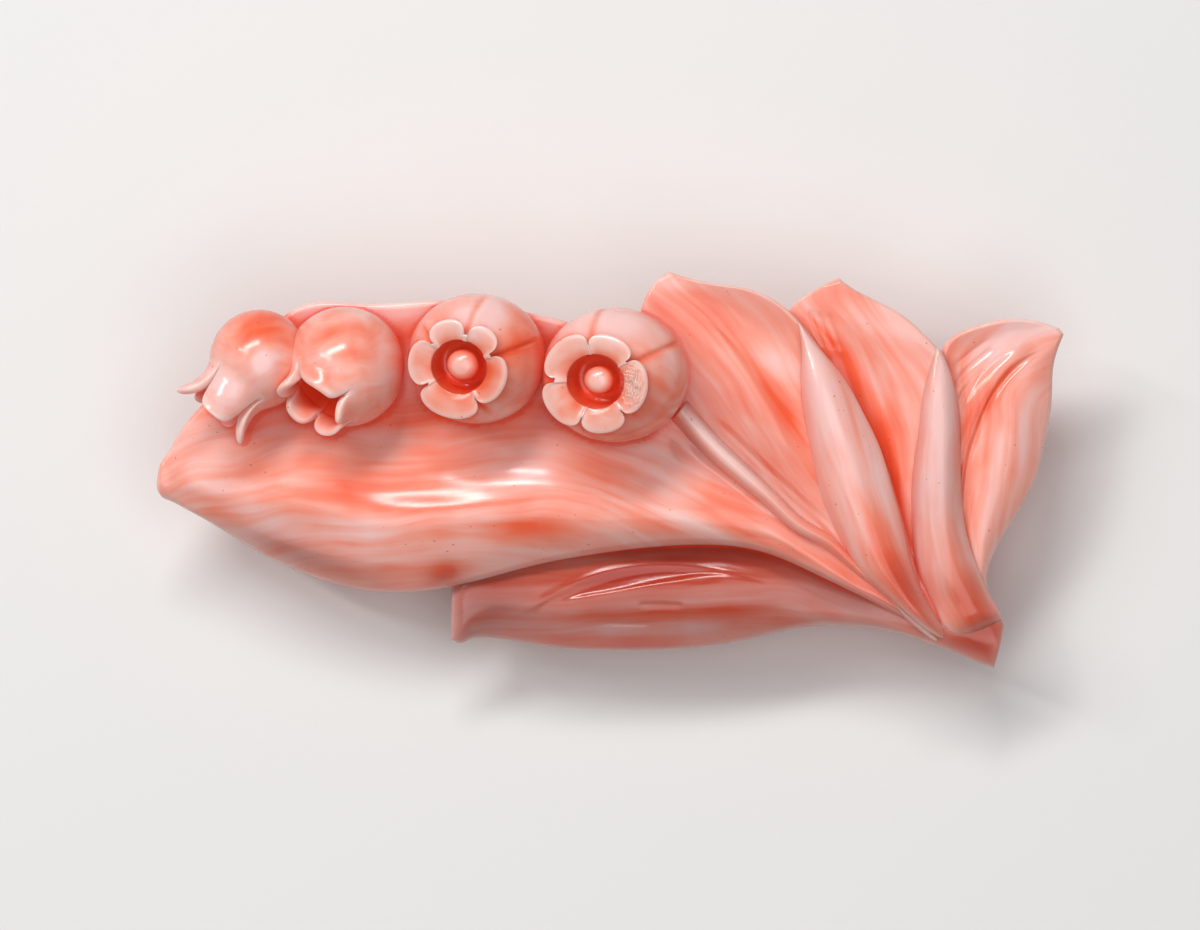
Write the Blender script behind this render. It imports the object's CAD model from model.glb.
"""Looks of a carved coral sash clip: a spray of lily of the valley with a metal fitting behind.

The carving is one block of coral. Its leaves, stem and bells are modelled as closed shells that
run into each other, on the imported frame's back plane. Tables are in millimetres, in the frame's
own X and Y, with heights above that back plane; meshes are in metres.
"""

import logging
import math
from dataclasses import dataclass
from enum import Enum
from typing import NamedTuple

import bpy
import numpy as np
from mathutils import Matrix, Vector

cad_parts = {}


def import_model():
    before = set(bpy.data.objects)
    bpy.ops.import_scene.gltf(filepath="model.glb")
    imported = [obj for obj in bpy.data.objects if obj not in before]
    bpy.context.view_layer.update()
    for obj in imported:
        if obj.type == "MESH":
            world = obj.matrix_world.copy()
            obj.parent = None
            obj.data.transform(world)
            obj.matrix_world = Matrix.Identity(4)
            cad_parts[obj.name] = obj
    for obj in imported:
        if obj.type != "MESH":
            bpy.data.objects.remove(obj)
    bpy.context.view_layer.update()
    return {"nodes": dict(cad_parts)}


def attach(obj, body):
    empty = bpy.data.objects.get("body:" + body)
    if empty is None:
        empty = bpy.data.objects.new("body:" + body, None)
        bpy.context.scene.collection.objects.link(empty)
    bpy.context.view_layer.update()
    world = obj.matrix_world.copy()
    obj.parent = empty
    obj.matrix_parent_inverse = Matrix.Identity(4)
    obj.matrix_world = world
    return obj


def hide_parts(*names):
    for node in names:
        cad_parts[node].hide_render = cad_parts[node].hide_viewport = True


LOG = logging.getLogger("sash_clip")
CARVING = "coral_carving"
FITTING = "cord_fitting"

# In metres
MM = 0.001
WELD_DISTANCE = 0.0000004

# In millimetres: the coral's back above the floor, its thinnest part, and a distance past any rim
BACK_PLANE = 6.35
LEAST_WALL = 0.05
FAR_OFF = 9.0

# Leaves: how the mesh crowds towards rims and ends, how strokes fade, and how full the back is
RIM_CROWDING = 0.62
END_CROWDING = 0.45
END_FADE = 5
STEP_RUN = 6
BACK_FULLNESS = 0.75

# Bells: rows of the mesh, counted from the back pole to the knob's top
GLOBE_ROWS = 96
PETAL_ROWS = 44
ROOT_ROWS = 30
WALL_ROWS = 15
FLOOR_ROWS = 7
KNOB_SIDE_ROWS = 11
KNOB_TOP_ROWS = 21
PALE_KNOB_ROWS = 22

# Bells: how the mesh crowds in the petals, how grooves, tips and the webs between petals run
# out, and how the mouth narrows, its floor sags and its knob is capped
PETAL_CROWDING = 0.8
TIP_CROWDING = 1.6
TIP_ROUNDING = 7
TIP_THINNING = 0.3
GROOVE_FADE = 0.5
WEB_CURL = 0.35
WEB_DIP = 0.72
MOUTH_TAPER = 0.93
FLOOR_SAG = 0.12
KNOB_CAP = 0.62

# Bells: colours of the grooves, the mouth, the knob and the petals' rims, and the pattern's pace
GROOVE_RED = 1.2
GROOVE_SPREAD = 1.7
MOUTH_RED = 2.4
KNOB_PALE = 0.35
RIM_PALE = 0.75
RIM_REACH = 0.42
BELL_GRAIN = (2.4, 0.5, 0.16)


# Curves and surfaces

def spline_weights(knots: np.ndarray, at: np.ndarray) -> np.ndarray:
    """Weights of a natural cubic spline.

    Args:
        knots: rising places of the values.
        at: places where the curve is wanted.

    Returns:
        A matrix that turns values at the knots into values on the curve.
    """
    count = len(knots)
    gaps = np.diff(knots)
    slopes = np.eye(count)
    jumps = np.zeros((count, count))
    for i in range(1, count - 1):
        slopes[i, i - 1:i + 2] = gaps[i - 1], 2 * (gaps[i - 1] + gaps[i]), gaps[i]
        jumps[i, i - 1:i + 2] = 6 / gaps[i - 1], -6 / gaps[i - 1] - 6 / gaps[i], 6 / gaps[i]
    bends = np.linalg.solve(slopes, jumps)
    span = np.clip(np.searchsorted(knots, at, side="right") - 1, 0, count - 2)
    gap = gaps[span]
    left = (knots[span + 1] - at) / gap
    right = (at - knots[span]) / gap
    straight = left[:, None] * np.eye(count)[span] + right[:, None] * np.eye(count)[span + 1]
    bent_left = (left ** 3 - left)[:, None] * bends[span]
    bent_right = (right ** 3 - right)[:, None] * bends[span + 1]
    return straight + (bent_left + bent_right) * (gap ** 2)[:, None] / 6


def chord_places(points: np.ndarray) -> np.ndarray:
    """Distance run along a row of points.

    Args:
        points: one point in each row.

    Returns:
        The running length at each point, from 0.
    """
    steps = np.linalg.norm(np.diff(points, axis=0), axis=1)
    return np.concatenate([[0.0], np.cumsum(steps)])


def crowded(count: int, crowding: float) -> np.ndarray:
    """Places from 0 to 1 that crowd towards both ends.

    Args:
        count: how many places.
        crowding: from 0, even, to just under 1, very crowded.

    Returns:
        The places, rising.
    """
    even = np.linspace(0.0, 1.0, count)
    return even - crowding * np.sin(2 * np.pi * even) / (2 * np.pi)


def smooth_path(points: tuple, count: int = 48) -> np.ndarray:
    """A smooth curve through a few points.

    Args:
        points: the points that the curve runs through.
        count: how many points to return.

    Returns:
        Points along the curve.
    """
    given = np.array(points, float)
    run = chord_places(given)
    return spline_weights(run, np.linspace(0, run[-1], count)) @ given


def soft_step(value: np.ndarray) -> np.ndarray:
    """Smooth rise from 0 to 1 as the value goes from 0 to 1."""
    held = np.clip(value, 0.0, 1.0)
    return held * held * (3 - 2 * held)


def steps(count: int) -> np.ndarray:
    """Even places up to 1, one to a row, without the 0 where the rows before them end."""
    return np.linspace(0, 1, count + 1)[1:, None]


# Meshes

def deselect() -> None:
    bpy.ops.object.select_all(action="DESELECT")


def closed_shell(
    name: str, points: np.ndarray, attributes: dict[str, np.ndarray],
) -> bpy.types.Object:
    """Rolls a grid into a closed, smooth-shaded shell.

    Args:
        name: the piece's name.
        points: rows by columns of points in millimetres; the last column meets the first, and
            the first and last rows are folded shut.
        attributes: values for each point, by name: numbers or triples.

    Returns:
        The new mesh object.
    """
    rows, columns = points.shape[:2]
    deselect()
    bpy.ops.mesh.primitive_grid_add(x_subdivisions=columns - 1, y_subdivisions=rows - 1, size=1.0)
    shell = bpy.context.object
    shell.name = name
    shell.data.name = name
    mesh = shell.data
    flat = np.empty(len(mesh.vertices) * 3, np.float32)
    mesh.vertices.foreach_get("co", flat)
    flat = flat.reshape(-1, 3)
    column = np.rint((flat[:, 0] + 0.5) * (columns - 1)).astype(int)
    row = np.rint((flat[:, 1] + 0.5) * (rows - 1)).astype(int)
    mesh.vertices.foreach_set("co", (points[row, column] * MM).astype(np.float32).ravel())
    for title, values in attributes.items():
        kind = "FLOAT_VECTOR" if values.ndim == 3 else "FLOAT"
        slot = "vector" if values.ndim == 3 else "value"
        layer = mesh.attributes.new(title, kind, "POINT")
        layer.data.foreach_set(slot, values[row, column].astype(np.float32).ravel())
    mesh.update()
    bpy.ops.object.mode_set(mode="EDIT")
    bpy.ops.mesh.select_all(action="SELECT")
    bpy.ops.mesh.remove_doubles(threshold=WELD_DISTANCE)
    bpy.ops.mesh.normals_make_consistent(inside=False)
    bpy.ops.object.mode_set(mode="OBJECT")
    bpy.ops.object.shade_smooth()
    return shell


# Shader nodes

class Socket:
    """An output socket that takes part in sums."""

    def __init__(self, graph: "Graph", link: bpy.types.NodeSocket) -> None:
        """Keeps the graph that new nodes go to, and the socket itself."""
        self.graph = graph
        self.link = link

    def _math(self, operation: str, first: object, second: object) -> "Socket":
        """One Math node on two values."""
        return self.graph.node("ShaderNodeMath", {"operation": operation}, {0: first, 1: second})

    def __add__(self, other: object) -> "Socket":
        """Sum."""
        return self._math("ADD", self, other)

    def __sub__(self, other: object) -> "Socket":
        """Difference."""
        return self._math("SUBTRACT", self, other)

    def __mul__(self, other: object) -> "Socket":
        """Product."""
        return self._math("MULTIPLY", self, other)

    def span(self, low: float, high: float) -> "Socket":
        """Smooth rise from 0 at low to 1 at high."""
        settings = {"interpolation_type": "SMOOTHSTEP"}
        inputs = {"Value": self, "From Min": low, "From Max": high}
        return self.graph.node("ShaderNodeMapRange", settings, inputs)


class Graph:
    """The node tree of one material."""

    def __init__(self, name: str) -> None:
        """Makes an empty material with one Principled BSDF on its output."""
        self.material = bpy.data.materials.new(name)
        self.material.use_nodes = True
        self.tree = self.material.node_tree
        self.tree.nodes.clear()
        self.shader = self.tree.nodes.new("ShaderNodeBsdfPrincipled")
        output = self.tree.nodes.new("ShaderNodeOutputMaterial")
        self.tree.links.new(self.shader.outputs[0], output.inputs["Surface"])

    def node(self, kind: str, settings: dict, inputs: dict, output: object = 0) -> Socket:
        """Adds a node.

        Args:
            kind: the node's type.
            settings: properties set first; "stops" fills a colour ramp.
            inputs: a value or a Socket for each input, by name or number.
            output: which output to return, by name or number.

        Returns:
            That output, wrapped.
        """
        made = self.tree.nodes.new(kind)
        for title, value in settings.items():
            if title == "stops":
                self._fill_ramp(made.color_ramp, value)
            else:
                setattr(made, title, value)
        for title, value in inputs.items():
            self.put(made.inputs[title], value)
        return Socket(self, made.outputs[output])

    def _fill_ramp(self, ramp: bpy.types.ColorRamp, stops: tuple) -> None:
        """Gives a colour ramp its stops, each a place and a colour."""
        while len(ramp.elements) < len(stops):
            ramp.elements.new(0.5)
        for element, (place, colour) in zip(ramp.elements, stops):
            element.position = place
            element.color = (*colour, 1.0)

    def put(self, socket: bpy.types.NodeSocket, value: object) -> None:
        """Links a Socket to an input, or sets the input's own value."""
        if isinstance(value, Socket):
            self.tree.links.new(value.link, socket)
        elif isinstance(value, tuple) and len(value) == 3 and socket.type == "RGBA":
            socket.default_value = (*value, 1.0)
        else:
            socket.default_value = value

    def dress(self, **inputs: object) -> None:
        """Sets the shader's inputs; words joined by _ name them."""
        for title, value in inputs.items():
            self.put(self.shader.inputs[title.replace("_", " ")], value)

    def attribute(self, name: str, output: str = "Fac") -> Socket:
        """Reads one of the piece's attributes."""
        return self.node("ShaderNodeAttribute", {"attribute_name": name}, {}, output)

    def scale(self, vector: Socket, by: tuple[float, float, float]) -> Socket:
        """Multiplies a vector part by part."""
        return self.node("ShaderNodeVectorMath", {"operation": "MULTIPLY"}, {0: vector, 1: by})

    def shift(self, vector: Socket, by: object) -> Socket:
        """Adds two vectors."""
        return self.node("ShaderNodeVectorMath", {"operation": "ADD"}, {0: vector, 1: by})

    def noise(self, vector: Socket, scale: float, detail: float) -> Socket:
        """Noise from 0 to 1 on a vector."""
        inputs = {"Vector": vector, "Scale": scale, "Detail": detail}
        return self.node("ShaderNodeTexNoise", {}, inputs)

    def blend(self, share: object, low: object, high: object, kind: str = "MIX") -> Socket:
        """Mixes two colours, or multiplies the first by the second."""
        settings = {"data_type": "RGBA", "clamp_factor": True, "blend_type": kind}
        return self.node("ShaderNodeMix", settings, {0: share, 6: low, 7: high}, 2)


@dataclass(frozen=True)
class CoralFinish:
    """Polished precious coral: salmon, with pale and orange streaks along the carver's cuts.

    A grain says how fast a pattern changes along the flow, across it, and from piece to piece.
    """

    pale: tuple = (0.90, 0.56, 0.52)
    light: tuple = (0.90, 0.40, 0.32)
    salmon: tuple = (0.90, 0.28, 0.19)
    orange: tuple = (0.88, 0.14, 0.06)
    deep: tuple = (0.72, 0.05, 0.015)
    skin: tuple = (0.90, 0.66, 0.61)
    dusk: tuple = (0.42, 0.27, 0.26)
    fleck: tuple = (0.34, 0.10, 0.04)
    ember: tuple = (0.75, 0.085, 0.03)
    ember_strength: float = 0.10
    wander_grain: tuple = (0.07, 0.16, 1.0)
    band_grain: tuple = (0.055, 0.36, 1.0)
    thread_grain: tuple = (0.12, 1.5, 1.0)
    cloud_grain: tuple = (0.20, 0.26, 1.0)
    ripple_scale: float = 520.0
    pore_scale: float = 3000.0
    fleck_scale: float = 4200.0
    roughness: float = 0.19
    glow_depth: float = 1.3 * MM

    def build(self) -> bpy.types.Material:
        """Builds the material.

        Returns:
            The coral material, which reads flow, stain, shade, thin and hollow.
        """
        graph = Graph("polished_coral")
        flow = graph.attribute("flow", "Vector")
        wander = graph.noise(graph.scale(flow, self.wander_grain), 1.0, 2.0)
        sway = graph.node("ShaderNodeCombineXYZ", {}, {"Y": (wander - 0.5) * 4.0})
        bent = graph.shift(flow, sway)
        bands = graph.noise(graph.scale(bent, self.band_grain), 1.0, 2.0)
        threads = graph.noise(graph.scale(bent, self.thread_grain), 1.0, 4.0)
        clouds = graph.noise(graph.scale(flow, self.cloud_grain), 1.0, 2.0)
        tone = bands * 0.40 + threads * 0.32 + clouds * 0.28 + graph.attribute("stain") * 0.13
        body = graph.node("ShaderNodeValToRGB", {"stops": (
            (0.36, self.pale), (0.47, self.light), (0.55, self.salmon),
            (0.68, self.orange), (0.86, self.deep),
        )}, {"Fac": tone})
        shaded = graph.blend(graph.attribute("shade"), body, self.dusk, "MULTIPLY")
        lit = graph.blend(graph.attribute("thin") * 0.8, shaded, self.skin)
        hollow = graph.attribute("hollow")
        blushed = graph.blend(hollow.span(0.2, 1.0) * 0.7, lit, self.deep)
        ember = graph.blend(hollow.span(0.3, 1.0), (0.0, 0.0, 0.0), self.ember)
        place = graph.node("ShaderNodeTexCoord", {}, {}, "Object")
        ripple = graph.noise(place, self.ripple_scale, 1.0)
        pores = graph.noise(place, self.pore_scale, 2.0)
        flecks = graph.noise(place, self.fleck_scale, 0.0).span(0.845, 0.865)
        colour = graph.blend(flecks * 0.6, blushed, self.fleck)
        relief = graph.node("ShaderNodeBump", {}, {
            "Strength": 0.3, "Distance": 0.00004, "Height": ripple * 0.8 + threads * 0.4,
        })
        graph.dress(
            Base_Color=colour,
            Roughness=pores * 0.08 + threads * 0.1 + (self.roughness - 0.09),
            Normal=relief,
            Subsurface_Weight=0.45,
            Subsurface_Radius=(1.0, 0.28, 0.16),
            Subsurface_Scale=self.glow_depth,
            Specular_IOR_Level=0.5,
            IOR=1.5,
            Emission_Color=ember,
            Emission_Strength=self.ember_strength,
        )
        return graph.material


@dataclass(frozen=True)
class MetalFinish:
    """Satin gilt metal, rubbed a little brighter where the cord runs."""

    metal: tuple = (0.78, 0.58, 0.30)
    tarnish: tuple = (0.42, 0.27, 0.12)
    roughness: float = 0.3

    def build(self) -> bpy.types.Material:
        """Builds the material.

        Returns:
            The metal material.
        """
        graph = Graph("satin_gilt")
        place = graph.node("ShaderNodeTexCoord", {}, {}, "Object")
        brushed = graph.noise(graph.scale(place, (300.0, 9000.0, 9000.0)), 1.0, 2.0)
        cloud = graph.noise(place, 500.0, 3.0)
        colour = graph.blend(cloud.span(0.5, 0.75) * 0.6, self.metal, self.tarnish)
        relief = graph.node("ShaderNodeBump", {}, {
            "Strength": 0.3, "Distance": 0.00002, "Height": brushed,
        })
        graph.dress(
            Base_Color=colour,
            Metallic=1.0,
            Roughness=brushed * 0.2 + cloud * 0.12 + (self.roughness - 0.16),
            Normal=relief,
        )
        return graph.material


@dataclass(frozen=True)
class FloorFinish:
    """Plain pale floor."""

    colour: tuple = (0.78, 0.77, 0.75)
    roughness: float = 0.8

    def build(self) -> bpy.types.Material:
        """Builds the material.

        Returns:
            The floor's material.
        """
        graph = Graph("pale_floor")
        graph.dress(Base_Color=self.colour, Roughness=self.roughness)
        return graph.material


# Leaves

class Station(NamedTuple):
    """A cross-section of a leaf, from rim a to rim b, with the height of each of its lines."""

    ax: float
    ay: float
    bx: float
    by: float
    under: float
    heights: tuple[float, ...]


class Mark(Enum):
    """What a carver's stroke does to the surface."""

    GROOVE = "a cut along the stroke"
    RIDGE = "a raised line left standing"
    STEP = "the right-hand side left higher"
    FACET = "the right-hand side planed down at a slope"


class Stroke(NamedTuple):
    """A stroke of the graver in plan: the points it runs through, its width and its depth."""

    mark: Mark
    width: float
    depth: float
    points: tuple[tuple[float, float], ...]


class Patch(NamedTuple):
    """A soft oval patch of colour in plan, turned by an angle in degrees."""

    x: float
    y: float
    length: float
    width: float
    angle: float
    strength: float


@dataclass
class Leaf:
    """One closed leaf shell of the carving.

    Its lines are shares of the way from rim a to rim b. Stains deepen the coral, shades darken
    it and pales whiten it. The sink is the lowest height that the underside may have.
    """

    name: str
    lines: tuple[float, ...]
    stations: tuple[Station, ...]
    seed: float
    wall: float = 0.9
    round_over: float = 0.34
    sink: float = 0.0
    along: int = 260
    across: int = 90
    wall_columns: int = 3
    rim_pale: float = 0.5
    rim_reach: float = 0.5
    strokes: tuple[Stroke, ...] = ()
    stains: tuple[Patch, ...] = ()
    shades: tuple[Patch, ...] = ()
    pales: tuple[Patch, ...] = ()

    def plan(self) -> tuple[np.ndarray, np.ndarray, np.ndarray, np.ndarray]:
        """Works out the top surface.

        Returns:
            The surface's points, its running length, its width at each row, and the height of
            the underside halfway across.
        """
        table = np.array([station[:5] for station in self.stations], float)
        heights = np.array([station.heights for station in self.stations], float)
        shares = np.array(self.lines, float)
        rim_a, rim_b, under = table[:, 0:2], table[:, 2:4], table[:, 4]
        net = np.empty((len(table), len(shares), 3))
        net[:, :, :2] = rim_a[:, None] + (rim_b - rim_a)[:, None] * shares[None, :, None]
        net[:, :, 2] = heights
        run = chord_places((rim_a + rim_b) / 2)
        rows = crowded(self.along, END_CROWDING) * run[-1]
        lengthwise = spline_weights(run, rows)
        crosswise = spline_weights(shares, crowded(self.across, RIM_CROWDING))
        surface = np.einsum("is,skc,jk->ijc", lengthwise, net, crosswise)
        width = np.linalg.norm(surface[:, -1, :2] - surface[:, 0, :2], axis=1)
        return surface, rows, width, lengthwise @ under

    def beside(
        self, surface: np.ndarray, stroke: Stroke,
    ) -> tuple[np.ndarray, np.ndarray, np.ndarray]:
        """Measures where each point lies beside a stroke.

        Args:
            surface: the top's points.
            stroke: the stroke.

        Returns:
            The distance from the stroke, its side, 1 on the right and -1 on the left, and the
            stroke's strength there, which fades to 0 at both of its ends.
        """
        path = smooth_path(stroke.points)
        last = len(path) - 1
        offset = surface[:, :, None, :2] - path[None, None]
        apart = np.linalg.norm(offset, axis=3)
        nearest = apart.argmin(axis=2)
        gap = np.take_along_axis(apart, nearest[..., None], 2)[..., 0]
        aside = np.take_along_axis(offset, nearest[..., None, None], 2)[:, :, 0]
        heading = np.gradient(path, axis=0)[nearest]
        pace = np.linalg.norm(heading, axis=2)
        right = (heading[..., 1] * aside[..., 0] - heading[..., 0] * aside[..., 1]) / pace
        onward = (heading * aside).sum(axis=2) / pace ** 2
        inside = (nearest > 0) & (nearest < last)
        gap = np.where(inside, np.abs(right), gap)
        progress = np.clip((nearest + onward) / last, 0, 1)
        fade = soft_step(progress * END_FADE) * soft_step((1 - progress) * END_FADE)
        return gap, np.sign(right), fade

    def carve(self, surface: np.ndarray) -> None:
        """Cuts the leaf's strokes into its top.

        Args:
            surface: the top's points, whose heights are changed.
        """
        for stroke in self.strokes:
            gap, side, fade = self.beside(surface, stroke)
            on_right = side > 0
            if stroke.mark is Mark.STEP:
                rise = soft_step(0.5 + side * gap / stroke.width)
                shape = rise - on_right + on_right * np.exp(-gap / (STEP_RUN * stroke.width))
            elif stroke.mark is Mark.FACET:
                shape = on_right * np.minimum(gap, stroke.width) / stroke.width
            else:
                shape = np.exp(-(gap / stroke.width) ** 2)
            sign = 1.0 if stroke.mark in (Mark.RIDGE, Mark.STEP) else -1.0
            surface[:, :, 2] += sign * stroke.depth * shape * fade

    def patch_map(self, surface: np.ndarray, patches: tuple[Patch, ...]) -> np.ndarray:
        """Sums soft patches of colour.

        Args:
            surface: the top's points.
            patches: the patches to add up.

        Returns:
            A number for each point.
        """
        total = np.zeros(surface.shape[:2])
        for patch in patches:
            angle = math.radians(patch.angle)
            dx, dy = surface[:, :, 0] - patch.x, surface[:, :, 1] - patch.y
            lengthwise = (dx * math.cos(angle) + dy * math.sin(angle)) / patch.length
            crosswise = (dy * math.cos(angle) - dx * math.sin(angle)) / patch.width
            total += patch.strength * np.exp(-(lengthwise ** 2) - crosswise ** 2)
        return total

    def sides(self) -> tuple[np.ndarray, np.ndarray, np.ndarray, np.ndarray]:
        """Works out the carved top and the underside, both rounded over at the rims.

        Returns:
            The top's points, the underside's points, each point's distance from the nearest
            rim, and the coordinates that the coral's pattern follows on the top.
        """
        top, run, width, under_mid = self.plan()
        across = crowded(self.across, RIM_CROWDING)
        rim_height = top[:, 0, 2][:, None] * (1 - across) + top[:, -1, 2][:, None] * across
        self.carve(top)
        bulge = (4 * across * (1 - across)) ** BACK_FULLNESS
        rim_mid = (top[:, 0, 2] + top[:, -1, 2]) / 2 - self.wall
        below = top.copy()
        below[:, :, 2] = rim_height - self.wall + (under_mid - rim_mid)[:, None] * bulge
        inset = np.minimum(
            np.minimum(across, 1 - across) * width[:, None],
            np.minimum(run, run[-1] - run)[:, None],
        )
        radius = self.round_over
        shy = radius - np.minimum(inset, radius)
        drop = radius - np.sqrt(np.maximum(radius ** 2 - shy ** 2, 0.0))
        top[:, :, 2] -= drop
        below[:, :, 2] += drop
        below[:, :, 2] = np.maximum(below[:, :, 2], self.sink)
        top[:, :, 2] = np.maximum(top[:, :, 2], below[:, :, 2] + LEAST_WALL)
        flow = np.stack([
            np.broadcast_to(run[:, None], top.shape[:2]),
            (across - 0.5) * width[:, None],
            np.full(top.shape[:2], self.seed),
        ], axis=2)
        return top, below, inset, flow

    def ring(self, top: np.ndarray, below: np.ndarray, melt: bool = False) -> np.ndarray:
        """Joins top, wall, underside and wall into closed rings.

        Args:
            top: values on the top, rows by columns.
            below: values on the underside, in the top's order.
            melt: whether the walls run over to the underside's values, or keep the top's.

        Returns:
            Rows by columns all round, the first column repeated at the end.
        """
        foot = below if melt else top
        down = np.linspace(0, 1, self.wall_columns + 2)[1:-1]
        side_b = np.stack([top[:, -1] * (1 - s) + foot[:, -1] * s for s in down], axis=1)
        side_a = np.stack([foot[:, 0] * (1 - s) + top[:, 0] * s for s in down], axis=1)
        return np.concatenate([top, side_b, below[:, ::-1], side_a, top[:, :1]], axis=1)

    def build(self) -> bpy.types.Object:
        """Models the leaf.

        Returns:
            The leaf's mesh object, with its place in its mesh.
        """
        top, below, inset, flow = self.sides()
        plain = np.zeros_like(inset)
        shade = self.patch_map(top, self.shades)
        thin = np.exp(-inset / self.rim_reach) * self.rim_pale + self.patch_map(top, self.pales)
        points = self.ring(top, below, melt=True)
        layers = {
            "flow": self.ring(flow, below),
            "stain": self.ring(self.patch_map(top, self.stains), plain),
            "thin": self.ring(thin, plain),
            "shade": self.ring(shade, shade),
        }
        for end in (0, -1):
            middle = (top[end, :, 2] + below[end, :, 2])[None] / 2
            cap = points[end].copy()
            cap[:, 2] = self.ring(middle, middle)[0]
            spot = 0 if end == 0 else len(points)
            points = np.insert(points, spot, cap, axis=0)
            for title, values in layers.items():
                layers[title] = np.insert(values, spot, values[end], axis=0)
        points[:, :, 2] += BACK_PLANE
        return closed_shell(self.name, points, layers)


LONG_LEAF = Leaf("long_leaf", lines=(0, 0.08, 0.17, 0.26, 0.38, 0.51, 0.75, 1), stations=(
    Station(-30.0, -1.15, -30.0, -0.75, 2.3, (3.2, 3.2, 3.2, 3.2, 3.2, 3.2, 3.2, 3.2)),
    Station(-29.8, -1.6, -29.85, 0.1, 2.0, (3.0, 3.1, 3.2, 3.3, 3.4, 3.4, 3.4, 3.4)),
    Station(-29.3, -1.95, -29.4, 1.0, 1.8, (2.8, 3.0, 3.2, 3.35, 3.45, 3.5, 3.5, 3.45)),
    Station(-28.3, -2.45, -28.5, 2.5, 1.4, (2.6, 2.9, 3.2, 3.5, 3.65, 3.7, 3.65, 3.6)),
    Station(-26.6, -3.4, -26.9, 4.4, 0.6, (2.4, 2.9, 3.4, 3.8, 3.85, 3.85, 3.75, 3.8)),
    Station(-23.7, -5.2, -24.3, 7.0, -0.3, (2.2, 3.0, 3.7, 4.25, 4.2, 4.1, 3.85, 4.2)),
    Station(-20.1, -6.9, -21.1, 10.5, -1.0, (2.1, 3.2, 4.1, 4.85, 4.55, 4.25, 3.85, 4.8)),
    Station(-15.8, -8.0, -16.4, 11.0, -1.4, (2.1, 3.6, 4.65, 5.2, 4.75, 4.4, 3.95, 5.3)),
    Station(-10.5, -7.7, -10.9, 11.2, -1.6, (2.3, 3.85, 4.95, 5.5, 4.8, 4.45, 4.0, 5.5)),
    Station(-5.0, -6.3, -5.3, 10.4, -1.6, (2.6, 4.15, 5.15, 5.45, 4.8, 4.45, 4.05, 5.4)),
    Station(-0.7, -5.5, 0.0, 8.6, -1.6, (2.9, 4.3, 5.1, 5.2, 4.68, 4.4, 4.1, 5.0)),
    Station(3.7, -5.0, 5.3, 4.0, -1.5, (3.1, 4.2, 4.8, 4.95, 4.63, 4.4, 4.1, 3.9)),
    Station(8.8, -5.1, 9.6, -0.4, -1.3, (3.3, 3.9, 4.3, 4.5, 4.6, 4.5, 4.2, 3.7)),
    Station(13.7, -6.9, 14.7, -4.8, -1.0, (3.2, 3.6, 3.9, 4.1, 4.2, 4.2, 4.0, 3.6)),
    Station(18.7, -9.4, 19.0, -8.5, -0.5, (3.0, 3.2, 3.4, 3.5, 3.6, 3.6, 3.5, 3.3)),
    Station(22.2, -11.4, 22.3, -11.0, 0.0, (2.2, 2.25, 2.3, 2.35, 2.4, 2.4, 2.35, 2.3)),
), seed=3.0, wall=1.3, along=330, across=138, round_over=0.45, strokes=(
    Stroke(Mark.GROOVE, 0.75, 0.085, (
        (-18.0, -1.1), (-15.0, -1.4), (-10.0, -1.6), (-5.0, -1.8), (-1.5, -2.4), (2.5, -3.6),
    )),
    Stroke(Mark.RIDGE, 0.6, 0.04, (
        (-16.5, -0.3), (-10.0, -0.7), (-5.0, -0.9), (-1.0, -1.5), (3.0, -2.6),
    )),
    Stroke(Mark.FACET, 1.9, 0.55, (
        (-27.5, -1.9), (-24.0, -3.75), (-19.5, -5.4), (-15.2, -6.2), (-12.0, -6.9),
    )),
    Stroke(Mark.GROOVE, 0.5, 0.12, ((-12.0, -6.6), (-10.9, -6.3), (-9.9, -6.9), (-9.3, -8.0))),
    Stroke(Mark.GROOVE, 0.18, 0.05, (
        (8.2, -4.6), (9.5, -4.4), (11.0, -4.75), (12.4, -5.6), (13.6, -6.4),
    )),
    Stroke(Mark.GROOVE, 0.5, 0.4, (
        (3.6, 3.0), (5.7, 0.7), (7.8, -0.9), (9.8, -2.5), (12.2, -3.95), (15.4, -6.3), (18.8, -9.2),
    )),
), stains=(
    Patch(-17.8, -1.1, 5.0, 0.8, -6, 1.3),
    Patch(-12.5, -2.0, 4.5, 0.5, -3, 0.9),
    Patch(-5.9, -3.9, 3.0, 0.8, 4, 1.3),
    Patch(7.2, -3.3, 3.0, 0.6, -24, 0.8),
    Patch(-10.9, -6.9, 1.1, 0.8, 20, 1.6),
    Patch(-26.0, 0.4, 2.6, 1.5, 20, -0.5),
    Patch(-24.0, -2.4, 3.5, 0.9, -28, -0.6),
    Patch(19.0, -9.3, 4.0, 1.2, -38, 1.4),
    Patch(-16.0, -4.2, 4.5, 0.8, -4, -0.6),
    Patch(-5.6, 1.0, 2.2, 0.6, 0, -0.7),
    Patch(3.0, 0.6, 2.6, 1.0, -25, -0.5),
    Patch(-9.0, 0.9, 4.0, 0.8, 0, 0.6),
    Patch(0.0, 0.6, 3.0, 0.7, -8, 0.5),
    Patch(-16.0, 10.6, 6.0, 0.8, 0, -1.8),
    Patch(-3.5, 9.6, 2.0, 0.8, -25, -1.2),
), shades=(
    Patch(-20.8, -5.6, 5.5, 1.0, -21, 0.7),
    Patch(-10.8, -7.2, 1.6, 0.9, 10, 0.4),
    Patch(21.0, -10.4, 5.0, 1.5, -38, 0.6),
), pales=(
    Patch(-14.0, 10.7, 5.0, 1.1, 0, 0.7),
    Patch(-3.4, 9.6, 2.2, 0.9, -25, 0.6),
))

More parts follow.
